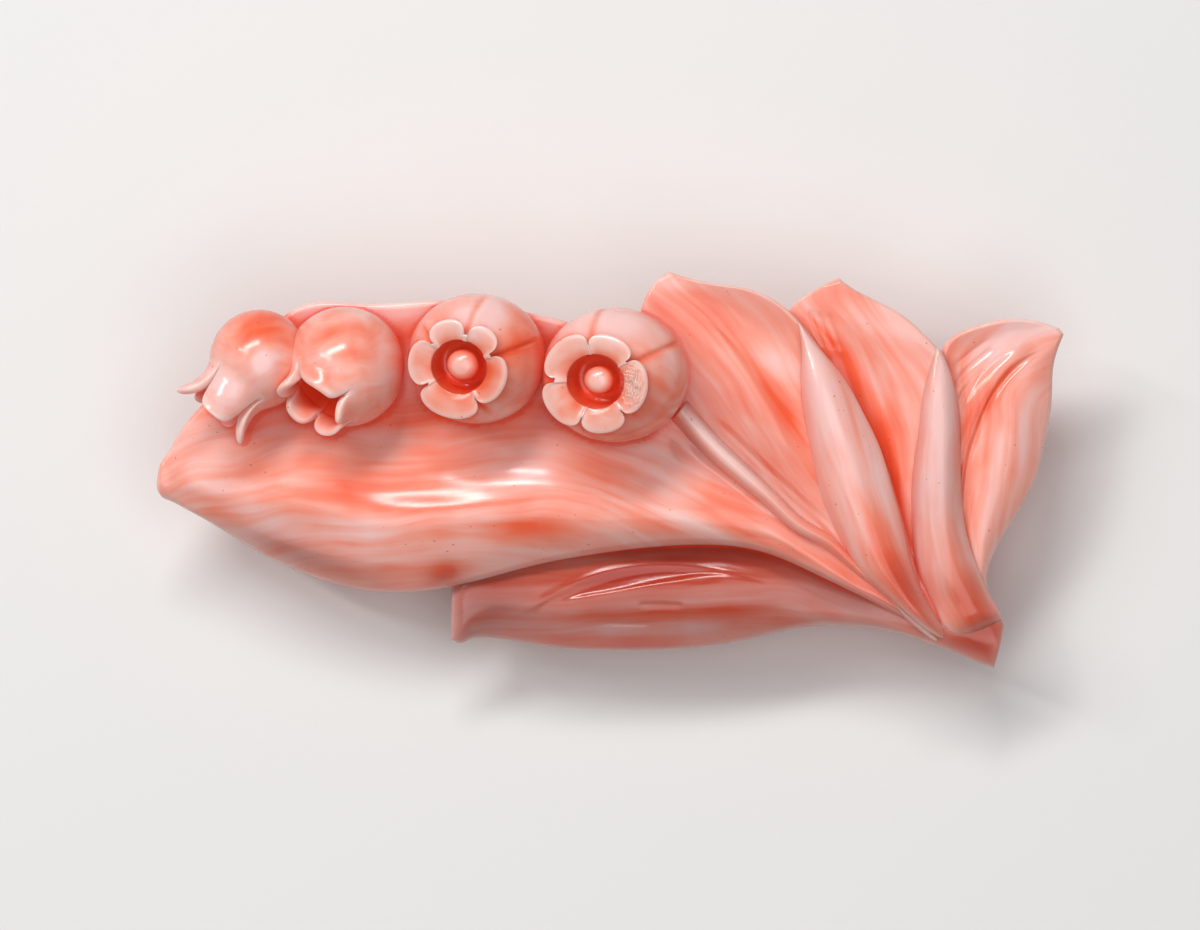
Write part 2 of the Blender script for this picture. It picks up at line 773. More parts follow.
LOWER_LEAF = Leaf("lower_leaf", lines=(0, 0.12, 0.3, 0.5, 0.75, 1), stations=(
    Station(-10.6, -11.2, -10.5, -7.0, 0.2, (0.8, 1.0, 1.2, 1.35, 1.4, 1.3)),
    Station(-10.0, -11.5, -10.0, -6.6, 0.0, (0.7, 1.1, 1.4, 1.6, 1.6, 1.4)),
    Station(-9.4, -11.3, -9.5, -6.3, -0.2, (0.6, 1.1, 1.5, 1.7, 1.7, 1.4)),
    Station(-8.3, -11.15, -8.4, -6.0, -0.4, (0.5, 1.0, 1.5, 1.8, 1.75, 1.4)),
    Station(-4.0, -11.75, -4.4, -5.0, -0.8, (0.45, 1.0, 1.6, 1.9, 1.7, 1.3)),
    Station(-0.7, -11.95, -0.7, -4.2, -1.0, (0.45, 1.0, 1.65, 2.0, 1.7, 1.2)),
    Station(3.0, -11.95, 3.0, -3.9, -1.0, (0.45, 1.05, 1.7, 2.05, 1.7, 1.2)),
    Station(6.5, -11.7, 6.5, -3.9, -1.0, (0.5, 1.1, 1.8, 2.1, 1.7, 1.2)),
    Station(9.9, -11.1, 10.2, -4.3, -0.9, (0.7, 1.3, 1.9, 2.1, 1.8, 1.3)),
    Station(12.5, -10.5, 13.0, -5.5, -0.8, (0.9, 1.5, 1.9, 2.1, 1.9, 1.5)),
    Station(15.5, -10.35, 16.2, -7.4, -0.6, (1.2, 1.7, 2.0, 2.1, 2.0, 1.8)),
    Station(19.0, -10.8, 19.5, -9.2, -0.2, (1.6, 1.9, 2.1, 2.2, 2.2, 2.1)),
    Station(22.4, -11.95, 22.7, -11.0, 0.2, (1.9, 2.1, 2.2, 2.3, 2.3, 2.2)),
), seed=11.0, sink=0.01, along=300, across=110, round_over=0.4, strokes=(
    Stroke(Mark.GROOVE, 0.6, 0.13, (
        (-4.4, -8.7), (-1.0, -7.6), (2.0, -6.95), (5.0, -6.75), (8.0, -7.0),
    )),
    Stroke(Mark.STEP, 0.3, 0.11, (
        (-4.6, -9.0), (-2.0, -8.35), (0.1, -8.0), (2.6, -7.5),
        (4.85, -7.1), (5.65, -6.95), (8.75, -7.15), (11.5, -7.9),
    )),
    Stroke(Mark.RIDGE, 0.26, 0.07, (
        (-7.2, -10.2), (-5.0, -8.9), (-3.1, -7.9), (-0.7, -6.9),
        (2.5, -6.35), (5.3, -6.4), (8.7, -6.85), (11.4, -7.5),
    )),
    Stroke(Mark.GROOVE, 0.16, 0.05, ((1.8, -8.9), (3.4, -8.9), (5.0, -8.95))),
    Stroke(Mark.GROOVE, 0.2, 0.05, ((-1.0, -10.1), (1.0, -10.15), (3.0, -10.2))),
), stains=(
    Patch(2.6, -7.1, 6.5, 0.7, 0, 1.4),
    Patch(3.0, -8.0, 16.0, 6.0, 0, 0.5),
    Patch(5.0, -5.0, 7.0, 1.4, -4, 1.4),
    Patch(1.0, -11.8, 6.0, 0.6, 0, 1.4),
    Patch(-2.0, -8.2, 4.0, 0.7, 14, 0.7),
    Patch(6.0, -9.3, 6.0, 0.6, 3, 0.8),
    Patch(-6.5, -9.6, 3.0, 0.8, 20, -0.4),
    Patch(1.0, -10.6, 6.0, 0.5, 0, -0.8),
    Patch(8.0, -10.0, 5.0, 0.5, 6, -0.7),
    Patch(-7.0, -7.2, 3.0, 0.8, 15, 0.3),
), shades=(
    Patch(3.0, -8.0, 40.0, 12.0, 0, 0.8),
    Patch(4.0, -4.9, 9.0, 0.9, -4, 0.9),
    Patch(13.0, -6.9, 4.5, 0.8, -30, 0.8),
    Patch(-9.0, -9.0, 3.5, 4.0, 0, 0.3),
))

LEFT_PANEL = Leaf("left_fan_panel", lines=(0, 0.25, 0.5, 0.75, 1), stations=(
    Station(2.95, 12.45, 3.8, 13.1, 4.1, (5.0, 5.05, 5.1, 5.1, 5.1)),
    Station(2.3, 11.4, 5.9, 12.5, 3.4, (5.0, 4.9, 4.9, 5.0, 5.2)),
    Station(2.0, 9.6, 8.9, 12.0, 2.0, (5.0, 4.7, 4.6, 4.8, 5.3)),
    Station(2.6, 7.3, 11.8, 10.5, 0.6, (4.8, 4.6, 4.3, 4.3, 5.1)),
    Station(3.8, 4.8, 14.5, 7.2, -0.4, (4.6, 4.6, 4.3, 3.9, 4.4)),
    Station(5.5, 2.4, 16.6, 4.1, -1.0, (4.4, 4.6, 4.3, 3.7, 3.8)),
    Station(7.9, 0.2, 18.2, 0.6, -1.2, (4.3, 4.5, 4.2, 3.6, 3.4)),
    Station(10.5, -2.2, 19.1, -2.3, -1.2, (4.1, 4.3, 4.1, 3.6, 3.3)),
    Station(13.3, -4.5, 20.1, -5.9, -1.0, (3.9, 4.1, 3.9, 3.5, 3.2)),
    Station(16.4, -6.6, 20.9, -8.8, -0.6, (3.6, 3.8, 3.6, 3.4, 3.2)),
    Station(19.6, -9.6, 22.0, -11.0, 0.0, (3.3, 3.2, 3.2, 3.1, 3.0)),
), seed=23.0, sink=0.02, along=260, across=110, strokes=(
    Stroke(Mark.GROOVE, 0.4, 0.15, (
        (5.4, 4.5), (7.9, 2.3), (10.0, 0.3), (12.0, -1.5), (14.0, -3.3), (15.7, -5.0), (17.6, -7.0),
    )),
    Stroke(Mark.RIDGE, 0.3, 0.06, ((4.6, 11.2), (7.4, 8.6), (9.8, 5.2), (12.2, 0.8))),
), stains=(
    Patch(8.5, 5.0, 6.0, 6.0, 0, 0.55),
    Patch(11.6, 4.2, 4.2, 0.8, -62, 1.0),
    Patch(5.6, 10.4, 3.5, 1.6, -18, 0.8),
    Patch(10.7, 7.2, 1.2, 0.7, -45, -1.0),
    Patch(9.2, 2.9, 1.6, 0.7, -50, -0.8),
    Patch(5.4, 6.9, 2.5, 0.8, -40, -0.4),
    Patch(4.2, 12.3, 1.6, 0.5, -10, -1.0),
), shades=(
    Patch(9.5, 0.8, 8.0, 2.4, -45, 0.4),
))

LEFT_BLADE = Leaf("left_fan_blade", lines=(0, 0.12, 0.35, 0.7, 1), stations=(
    Station(12.3, 9.8, 12.6, 9.6, 4.2, (5.2, 5.2, 5.2, 5.2, 5.2)),
    Station(12.6, 8.3, 13.8, 8.1, 3.0, (4.9, 5.3, 5.5, 5.4, 5.1)),
    Station(12.6, 6.3, 15.2, 6.4, 1.5, (4.5, 5.4, 6.0, 5.8, 5.2)),
    Station(12.8, 3.8, 16.6, 4.0, 0.2, (4.3, 5.4, 6.2, 6.0, 5.2)),
    Station(13.3, 1.0, 17.8, 1.5, -0.8, (4.1, 5.3, 6.2, 6.0, 5.1)),
    Station(13.9, -2.0, 18.7, -1.5, -1.0, (3.9, 5.1, 6.0, 5.8, 4.9)),
    Station(15.0, -4.4, 19.4, -4.0, -1.0, (3.8, 4.9, 5.7, 5.5, 4.6)),
    Station(16.4, -6.7, 19.9, -6.2, -0.8, (3.7, 4.6, 5.3, 5.1, 4.3)),
    Station(18.3, -8.5, 20.7, -8.2, -0.5, (3.5, 4.2, 4.8, 4.6, 4.0)),
    Station(20.3, -10.2, 21.6, -9.8, 0.0, (3.2, 3.7, 4.2, 4.0, 3.6)),
    Station(22.0, -11.3, 22.5, -11.0, 0.2, (2.2, 2.4, 2.6, 2.5, 2.3)),
), seed=31.0, sink=0.03, along=260, across=90, stains=(
    Patch(13.6, 6.2, 3.0, 0.8, -80, -1.3),
    Patch(15.4, 2.4, 6.0, 2.0, -68, -0.7),
    Patch(16.2, 0.6, 2.5, 0.8, -70, -0.5),
    Patch(19.6, -7.6, 3.0, 1.2, -50, 2.2),
    Patch(17.0, -3.2, 2.6, 0.6, -62, 0.6),
), shades=(
    Patch(20.5, -9.0, 3.5, 1.5, -50, 0.5),
))

MIDDLE_PANEL = Leaf("middle_fan_panel", lines=(0, 0.25, 0.5, 0.75, 1), stations=(
    Station(14.2, 12.3, 15.1, 12.7, 3.4, (4.4, 4.4, 4.4, 4.4, 4.4)),
    Station(12.8, 11.5, 16.2, 11.9, 2.8, (4.3, 4.35, 4.45, 4.5, 4.5)),
    Station(11.8, 10.5, 18.35, 10.8, 1.8, (4.0, 4.15, 4.4, 4.6, 4.7)),
    Station(12.4, 8.9, 20.7, 9.0, 0.6, (3.6, 3.9, 4.3, 4.6, 4.8)),
    Station(13.5, 6.9, 22.0, 7.5, -0.4, (3.3, 3.6, 4.1, 4.4, 4.6)),
    Station(14.8, 4.6, 22.7, 5.0, -0.8, (3.1, 3.3, 3.8, 4.0, 4.0)),
    Station(16.1, 1.7, 22.9, 1.7, -1.0, (3.0, 3.1, 3.5, 3.6, 3.4)),
    Station(17.1, -1.6, 23.0, -1.6, -1.0, (2.9, 2.95, 3.2, 3.2, 3.0)),
    Station(18.1, -4.9, 23.2, -4.9, -0.8, (2.8, 2.85, 3.0, 3.0, 2.9)),
    Station(19.4, -7.9, 23.4, -7.9, -0.5, (2.8, 2.8, 2.9, 2.9, 2.8)),
    Station(21.4, -10.4, 23.6, -10.2, 0.0, (2.7, 2.7, 2.8, 2.8, 2.7)),
), seed=41.0, sink=0.04, along=300, across=120, strokes=(
    Stroke(Mark.GROOVE, 0.16, 0.1, ((13.1, 10.7), (13.5, 9.6), (14.2, 8.0))),
    Stroke(Mark.GROOVE, 0.18, 0.12, ((13.7, 10.6), (14.1, 9.4), (14.8, 7.9))),
    Stroke(Mark.GROOVE, 0.18, 0.12, ((14.3, 10.5), (14.7, 9.4), (15.4, 7.8))),
    Stroke(Mark.GROOVE, 0.8, 0.25, ((14.8, 9.0), (16.0, 6.0), (17.0, 3.4), (18.4, -0.6))),
    Stroke(Mark.GROOVE, 0.35, 0.3, ((18.4, 0.5), (19.0, -2.0), (19.9, -5.0), (21.2, -8.0))),
), stains=(
    Patch(18.0, 5.0, 5.0, 6.0, 0, 0.5),
    Patch(15.6, 6.5, 3.2, 0.8, -68, 1.2),
    Patch(17.9, 5.5, 1.6, 0.6, -75, -1.2),
    Patch(18.6, -1.0, 4.5, 0.6, -80, 1.2),
    Patch(14.6, 11.6, 2.0, 0.9, 10, 0.8),
    Patch(18.6, 9.2, 2.0, 0.7, -30, -0.3),
))

MIDDLE_BLADE = Leaf("middle_fan_blade", lines=(0, 0.12, 0.4, 0.75, 1), stations=(
    Station(21.45, 8.2, 21.8, 8.0, 3.7, (4.7, 4.7, 4.7, 4.7, 4.7)),
    Station(21.05, 6.7, 22.3, 6.9, 2.4, (4.4, 4.8, 5.0, 4.9, 4.6)),
    Station(20.6, 5.0, 22.8, 5.3, 1.0, (3.9, 4.7, 5.2, 5.0, 4.3)),
    Station(20.3, 2.7, 23.1, 3.0, 0.0, (3.5, 4.5, 5.1, 4.9, 3.9)),
    Station(19.9, -0.3, 23.2, 0.0, -0.6, (3.2, 4.3, 5.0, 4.8, 3.7)),
    Station(19.9, -2.9, 23.35, -2.5, -0.8, (3.1, 4.1, 4.8, 4.6, 3.5)),
    Station(20.1, -5.4, 23.8, -4.9, -0.8, (3.0, 3.9, 4.6, 4.4, 3.4)),
    Station(20.6, -7.4, 24.5, -6.8, -0.7, (2.9, 3.7, 4.4, 4.2, 3.3)),
    Station(21.4, -9.2, 25.3, -8.5, -0.5, (2.8, 3.4, 4.0, 3.9, 3.1)),
    Station(22.4, -10.8, 25.9, -9.6, -0.2, (2.7, 3.1, 3.5, 3.4, 2.9)),
    Station(23.4, -11.4, 26.05, -10.3, 0.0, (2.0, 2.2, 2.4, 2.3, 2.0)),
), seed=53.0, sink=0.05, along=260, across=90, stains=(
    Patch(21.8, 4.5, 3.4, 0.7, -88, -1.2),
    Patch(21.5, 0.0, 6.5, 1.6, -85, -0.7),
    Patch(21.3, -1.5, 3.0, 0.7, -88, -0.4),
    Patch(23.9, -9.0, 2.4, 1.4, -60, 1.8),
    Patch(22.9, 1.0, 3.5, 0.4, -88, 0.7),
), shades=(
    Patch(24.6, -9.4, 3.0, 2.0, -60, 0.5),
    Patch(21.8, -3.0, 7.0, 3.0, -80, 0.22),
))

RIGHT_LEAF = Leaf("right_fan_leaf", lines=(0, 0.2, 0.45, 0.7, 1), stations=(
    Station(30.0, 9.0, 29.7, 9.4, 2.6, (3.5, 3.5, 3.5, 3.5, 3.5)),
    Station(29.7, 8.2, 28.5, 9.8, 2.0, (3.2, 3.3, 3.4, 3.45, 3.6)),
    Station(29.4, 7.1, 26.8, 10.05, 1.2, (2.9, 3.25, 3.3, 3.4, 3.8)),
    Station(29.3, 5.6, 24.7, 9.7, 0.5, (2.7, 3.3, 3.4, 3.3, 3.9)),
    Station(29.2, 3.85, 22.2, 8.45, -0.2, (2.5, 3.35, 3.5, 3.1, 3.8)),
    Station(28.8, 1.7, 22.2, 5.6, -0.6, (2.3, 3.3, 3.6, 3.1, 3.3)),
    Station(28.2, -0.6, 22.4, 3.0, -0.8, (2.2, 3.2, 3.6, 3.2, 2.9)),
    Station(27.0, -2.8, 22.7, 0.4, -0.8, (2.2, 3.0, 3.4, 3.3, 2.8)),
    Station(25.8, -4.8, 23.0, -2.3, -0.7, (2.2, 2.9, 3.2, 3.1, 2.7)),
    Station(25.1, -6.5, 23.55, -4.9, -0.5, (2.2, 2.7, 2.9, 2.9, 2.6)),
    Station(25.1, -7.9, 24.0, -7.2, -0.3, (2.2, 2.6, 2.7, 2.7, 2.5)),
    Station(25.85, -9.5, 24.7, -9.2, 0.2, (2.3, 2.5, 2.6, 2.6, 2.5)),
), seed=61.0, sink=0.06, along=300, across=120, strokes=(
    Stroke(Mark.STEP, 0.35, 0.42, (
        (28.9, 8.2), (27.0, 7.1), (25.9, 6.0), (25.05, 4.7), (24.3, 2.9),
        (23.7, 1.15), (23.4, -0.6), (23.3, -2.0), (23.5, -3.9),
    )),
    Stroke(Mark.GROOVE, 0.3, 0.22, (
        (28.5, 8.1), (27.0, 7.15), (25.8, 6.0), (24.9, 4.7),
        (24.2, 2.9), (23.55, 1.15), (23.2, -0.6), (23.2, -2.0),
    )),
    Stroke(Mark.GROOVE, 0.17, 0.08, ((26.3, 7.9), (24.6, 6.6), (23.4, 5.2), (22.9, 4.2))),
    Stroke(Mark.GROOVE, 0.17, 0.08, ((26.8, 8.2), (25.0, 6.7), (23.8, 5.2), (23.2, 3.9))),
    Stroke(Mark.GROOVE, 0.17, 0.08, ((25.6, 8.3), (24.2, 7.2), (23.0, 5.9), (22.6, 5.2))),
    Stroke(Mark.GROOVE, 0.17, 0.08, ((25.2, 8.8), (23.6, 7.6), (22.6, 6.7))),
), stains=(
    Patch(25.6, 8.3, 2.4, 1.1, 40, -1.2),
    Patch(25.2, 5.0, 3.0, 0.5, 55, 1.6),
    Patch(23.5, 0.6, 3.0, 0.4, 78, 1.2),
    Patch(28.2, 9.5, 1.8, 0.6, 0, -0.8),
    Patch(26.9, 2.0, 3.0, 0.9, 65, -0.3),
))

STALK = Leaf("cut_stalk", lines=(0, 0.3, 0.6, 1), stations=(
    Station(19.1, -10.75, 20.0, -8.5, -0.6, (0.8, 1.1, 1.3, 1.1)),
    Station(21.4, -11.55, 22.7, -9.5, -0.5, (2.1, 2.7, 2.9, 2.7)),
    Station(23.35, -12.3, 24.7, -9.3, -0.5, (2.1, 2.8, 3.0, 2.7)),
    Station(24.7, -12.85, 25.9, -9.6, -0.3, (2.0, 2.7, 2.9, 2.6)),
    Station(25.5, -13.1, 26.15, -10.35, 0.2, (1.8, 2.5, 2.7, 2.4)),
), seed=71.0, sink=0.07, along=120, across=60, stains=(
    Patch(24.6, -10.8, 2.4, 2.0, 0, 2.0),
), shades=(
    Patch(24.6, -11.0, 6.0, 4.0, 0, 0.8),
))

STEM = Leaf("flower_stem", lines=(0, 0.15, 0.38, 0.62, 0.85, 1), stations=(
    Station(4.0, 3.3, 5.2, 4.7, 1.0, (3.6, 5.2, 6.1, 6.1, 5.2, 3.6)),
    Station(6.05, 1.1, 7.2, 2.4, 0.8, (3.6, 5.2, 6.0, 6.0, 5.2, 3.6)),
    Station(8.15, -0.75, 9.2, 0.45, 0.6, (3.5, 5.0, 5.75, 5.75, 5.0, 3.5)),
    Station(10.3, -2.55, 11.2, -1.5, 0.6, (3.4, 4.7, 5.4, 5.4, 4.7, 3.4)),
    Station(12.2, -4.2, 13.1, -3.2, 0.6, (3.3, 4.4, 5.05, 5.05, 4.4, 3.3)),
    Station(13.8, -5.1, 14.7, -4.1, 0.6, (3.0, 4.0, 4.75, 4.75, 4.0, 3.0)),
    Station(15.45, -6.35, 16.15, -5.6, 0.6, (2.9, 3.7, 4.35, 4.35, 3.7, 2.9)),
    Station(17.8, -8.35, 18.4, -7.7, 0.6, (2.7, 3.3, 3.85, 3.85, 3.3, 2.7)),
    Station(19.8, -10.1, 20.3, -9.6, 0.6, (2.5, 3.0, 3.45, 3.45, 3.0, 2.5)),
    Station(21.6, -11.45, 21.9, -11.15, 0.6, (2.0, 2.2, 2.4, 2.4, 2.2, 2.0)),
), seed=83.0, round_over=0.15, along=200, across=48, strokes=(
    Stroke(Mark.GROOVE, 0.14, 0.10, (
        (5.9, 3.1), (7.6, 1.5), (9.5, -0.1), (11.7, -2.0), (13.7, -3.8),
    )),
), stains=(
    Patch(7.0, 1.9, 4.0, 0.6, -45, -1.4),
    Patch(16.0, -6.2, 4.0, 0.6, -45, 1.0),
), pales=(
    Patch(7.8, 1.2, 4.5, 0.5, -41, 0.7),
))

LEAVES = (
    LONG_LEAF, LOWER_LEAF, LEFT_PANEL, LEFT_BLADE, MIDDLE_PANEL, MIDDLE_BLADE, RIGHT_LEAF,
    STALK, STEM,
)


# Bells

class Petal(NamedTuple):
    """A petal of a bell, with its angles in degrees.

    It points to its turn round the axis, spreads half of its breadth to each side, leaves the
    globe at its start lean, and curls to its end lean. A low point makes its tip sharp.
    """

    turn: float
    half: float
    length: float
    start: float
    end: float
    thick: float
    point: float
    skew: float = 0.0


class Groove(NamedTuple):
    """A cut down a globe: its turn round the axis and its end's angle from the mouth in degrees."""

    turn: float
    reach: float
    depth: float = 0.12
    width: float = 0.16


class Spot(NamedTuple):
    """A round patch of deeper or paler coral on a bell, from the bell's middle."""

    x: float
    y: float
    reach: float
    strength: float


class Pitting(NamedTuple):
    """An oval patch of small pits on a bell, from the bell's middle."""

    x: float
    y: float
    half_x: float
    half_y: float
    depth: float


@dataclass
class Bell:
    """One flower: a hollow globe, its petals and the knob in its mouth, in one closed skin.

    The seat is the angle in degrees from the axis at which the petals leave the globe. Heights
    along the axis are counted from the globe's middle.
    """

    name: str
    middle: tuple[float, float, float]
    radius: float
    facing: tuple[float, float, float]
    seat: float
    depth: float
    knob: float
    knob_top: float
    seed: float
    petals: tuple[Petal, ...]
    stretch: tuple[float, float] = (1.0, 1.0)
    grooves: tuple[Groove, ...] = ()
    stains: tuple[Spot, ...] = ()
    pits: tuple[Pitting, ...] = ()
    cup: float = 0.0
    web: float = 0.05
    petal_columns: int = 62
    gap_columns: int = 8

    def columns(self) -> tuple[np.ndarray, np.ndarray, np.ndarray]:
        """Lays out the columns round the axis.

        Returns:
            The columns' angles, the share of its full length that the petal has there, and
            the petal's number.
        """
        ordered = sorted(range(len(self.petals)), key=lambda i: self.petals[i].turn)
        across = crowded(self.petal_columns, PETAL_CROWDING) * 2 - 1
        angles, shares, owners = [], [], []
        for spot, number in enumerate(ordered):
            last = spot == len(ordered) - 1
            follower = ordered[0 if last else spot + 1]
            petal, after = self.petals[number], self.petals[follower]
            leaned = across + petal.skew * (1 - across ** 2)
            angles.append(petal.turn + across * petal.half)
            shares.append((1 - np.abs(leaned) ** petal.point) ** (1 / petal.point))
            owners.append(np.full(self.petal_columns, number))
            gap_end = after.turn - after.half + (360 if last else 0)
            gap = np.linspace(petal.turn + petal.half, gap_end, self.gap_columns)[1:-1]
            angles.append(gap)
            shares.append(np.zeros(len(gap)))
            owners.append(np.where(np.arange(len(gap)) < len(gap) / 2, number, follower))
        angles = np.concatenate(angles)
        shares = np.concatenate(shares)
        owners = np.concatenate(owners)
        return (
            np.radians(np.append(angles, angles[0] + 360)),
            np.append(shares, shares[0]),
            np.append(owners, owners[0]),
        )

    def petal_of(self, owners: np.ndarray) -> Petal:
        """The petal at each column, as one Petal that holds a row of numbers in each field."""
        return Petal(*np.array(self.petals, float)[owners].T)

    def groove_map(
        self, groove: Groove, width: float, angles: np.ndarray, polar: np.ndarray, far: np.ndarray,
    ) -> np.ndarray:
        """How deep in a groove each point lies, from 0 to 1.

        Args:
            groove: the cut.
            width: how wide it is taken to be, in millimetres.
            angles: the columns' angles round the axis.
            polar: each point's angle from the mouth.
            far: each point's distance from the axis.

        Returns:
            A number for each point.
        """
        apart = (angles - math.radians(groove.turn) + math.pi) % (2 * math.pi) - math.pi
        fade = soft_step((math.radians(groove.reach) - polar) / GROOVE_FADE)
        return fade * np.exp(-(apart[None] * far / width) ** 2)

    def globe(self, angles: np.ndarray) -> np.ndarray:
        """The globe's outside from its back pole to the petals' roots.

        Args:
            angles: the columns' angles round the axis.

        Returns:
            Distance from the axis and height along it, rows by columns.
        """
        polar = np.linspace(math.pi, math.radians(self.seat), GLOBE_ROWS)[:, None]
        far = self.radius * np.sin(polar)
        radius = np.full((len(polar), len(angles)), self.radius)
        for groove in self.grooves:
            radius -= groove.depth * self.groove_map(groove, groove.width, angles, polar, far)
        return np.stack([radius * np.sin(polar), radius * np.cos(polar)], axis=2)

    def groove_stain(self, angles: np.ndarray, profile: np.ndarray) -> np.ndarray:
        """The deeper colour in the cuts on the globe.

        Args:
            angles: the columns' angles round the axis.
            profile: distance from the axis and height along it.

        Returns:
            A stain for each point.
        """
        far = profile[:, :, 0]
        polar = np.arctan2(far, profile[:, :, 1])
        stain = np.zeros(polar.shape)
        for groove in self.grooves:
            width = GROOVE_SPREAD * groove.width
            stain += GROOVE_RED * self.groove_map(groove, width, angles, polar, far)
        stain[GLOBE_ROWS:] = 0.0
        return stain

    def petal_sides(
        self, shares: np.ndarray, owners: np.ndarray,
    ) -> tuple[np.ndarray, np.ndarray, np.ndarray]:
        """The petals' outer and inner sides.

        Args:
            shares: each column's share of its petal's length.
            owners: each column's petal.

        Returns:
            The outer side from root to tip, the inner side from tip to root, and the distance
            of each row from the tip.
        """
        petal = self.petal_of(owners)
        length = petal.length * (self.web + (1 - self.web) * shares)
        start, end = np.radians(petal.start), np.radians(petal.end)
        run = 1 - (1 - np.linspace(0, 1, PETAL_ROWS)) ** TIP_CROWDING
        lean = start + (end - start) * run[:, None] * (WEB_CURL + (1 - WEB_CURL) * shares)
        step = np.diff(run, prepend=0)[:, None] * length
        seat = math.radians(self.seat)
        root = np.array([math.sin(seat), math.cos(seat)]) * self.radius
        inward = np.stack([-np.cos(lean), np.sin(lean)], axis=2)
        outward = np.cumsum(np.sin(lean) * step, axis=0)
        onward = np.cumsum(np.cos(lean) * step, axis=0)
        middle = np.stack([outward, onward], axis=2)
        middle += root + inward[0] * petal.thick[:, None] / 2
        taper = np.sqrt(np.maximum(1 - run ** TIP_ROUNDING, 0)) * (1 - TIP_THINNING * run)
        half = taper[:, None, None] * petal.thick[None, :, None] / 2
        outer = middle - inward * half
        toward_sides = WEB_DIP + (1 - WEB_DIP) * soft_step(1.4 * shares)
        dip = self.cup * (1 - run[:, None] ** 3) * toward_sides
        inner = middle + inward * half * (1 - dip[:, :, None])
        return outer, inner[::-1], length[None] * (1 - run[:, None])

    def mouth(self, brim: np.ndarray) -> np.ndarray:
        """The inside of the mouth, from the petals' roots over the floor to the knob's top.

        Args:
            brim: the inner side's last row.

        Returns:
            Rows by columns of distance from the axis and height along it.
        """
        foot_radius = brim[:, 0] * MOUTH_TAPER
        foot = np.full_like(foot_radius, self.depth)
        down = steps(WALL_ROWS)
        wall = np.stack([
            brim[:, 0] + (foot_radius - brim[:, 0]) * soft_step(down),
            brim[:, 1] + (foot - brim[:, 1]) * down,
        ], axis=2)
        inward = steps(FLOOR_ROWS)
        floor = np.stack([
            foot_radius + (self.knob - foot_radius) * inward,
            foot - FLOOR_SAG * np.sin(inward * math.pi),
        ], axis=2)
        side_top = self.knob_top - self.knob * KNOB_CAP
        knob = np.full_like(foot_radius, self.knob)
        rise = steps(KNOB_SIDE_ROWS)
        side = np.stack([knob * np.ones_like(rise), foot + (side_top - foot) * rise], axis=2)
        over = steps(KNOB_TOP_ROWS) * math.pi / 2
        height = np.full_like(foot_radius, self.knob_top - side_top)
        dome = np.stack([knob * np.cos(over), side_top + height * np.sin(over)], axis=2)
        return np.concatenate([wall, floor, side, dome])

    def rim_map(
        self, profile: np.ndarray, angles: np.ndarray, owners: np.ndarray, to_tip: np.ndarray,
    ) -> np.ndarray:
        """How thin, and so how pale, the coral is near the petals' edges.

        Args:
            profile: distance from the axis and height along it, for every row.
            angles: the columns' angles round the axis.
            owners: each column's petal.
            to_tip: distance of each petal row from the tip.

        Returns:
            A number for each point, 0 away from the edges.
        """
        petal = self.petal_of(owners)
        apart = angles - np.radians(petal.turn)
        apart = np.abs(apart - np.round(apart / (2 * math.pi)) * 2 * math.pi)
        edge = np.maximum(np.radians(petal.half) - apart, 0)
        rest = len(profile) - (GLOBE_ROWS - 1) - 2 * PETAL_ROWS
        rim = np.concatenate([
            np.full((GLOBE_ROWS - 1, len(angles)), FAR_OFF), to_tip, to_tip[::-1],
            np.full((rest, len(angles)), FAR_OFF),
        ])
        sideways = edge[None] * np.maximum(profile[:, :, 0], 0.1) + 0.25
        return RIM_PALE * np.exp(-(np.minimum(rim, sideways) / RIM_REACH) ** 2) * (rim < FAR_OFF)

    def mouth_tone(self, shape: tuple[int, int], mouth_rows: int) -> np.ndarray:
        """How deep in the red of the mouth each point lies.

        Args:
            shape: rows and columns of the whole bell.
            mouth_rows: how many of the last rows belong to the mouth.

        Returns:
            A number for each point: 0 outside, 1 round the knob's foot.
        """
        first = shape[0] - mouth_rows
        red_starts, red_full, knob_foot, knob_pale = first - 18, first + 12, first + 34, first + 46
        tone = np.zeros(shape)
        tone[red_starts:red_full] = soft_step(np.linspace(0, 1, red_full - red_starts))[:, None]
        tone[red_full:knob_foot] = 1.0
        tone[knob_foot:knob_pale] = np.linspace(1, 0.3, knob_pale - knob_foot)[:, None]
        return tone

    def turned(self, profile: np.ndarray, angles: np.ndarray) -> np.ndarray:
        """Turns the profile round the axis, and the axis the way that the bell faces.

        Args:
            profile: distance from the axis and height along it.
            angles: the columns' angles round the axis.

        Returns:
            Points from the bell's middle, rows by columns.
        """
        upright = Vector((0, 0, 1)).rotation_difference(Vector(self.facing).normalized())
        across, up, ahead = (np.array(upright @ Vector(row)) for row in np.eye(3))
        outward = np.cos(angles)[:, None] * across + np.sin(angles)[:, None] * up
        points = profile[:, :, 0:1] * outward[None] + profile[:, :, 1:2] * ahead
        return points * np.array([*self.stretch, 1.0])

    def pit(self, points: np.ndarray, thin: np.ndarray) -> None:
        """Roughens the pitted patches and pales them.

        Args:
            points: the bell's points, whose heights are changed.
            thin: how pale the coral is, which is changed too.
        """
        for patch in self.pits:
            x, y = points[:, :, 0], points[:, :, 1]
            reach = ((x - patch.x) / patch.half_x) ** 2 + ((y - patch.y) / patch.half_y) ** 2
            within = np.exp(-reach ** 2)
            along_x = np.sin(17 * x + 2.5 * np.sin(9 * y))
            along_y = np.sin(15 * y + 2.5 * np.sin(11 * x + 1))
            points[:, :, 2] += patch.depth * within * np.minimum(along_x * along_y, 0.35)
            thin += 0.5 * within * (1 - thin)

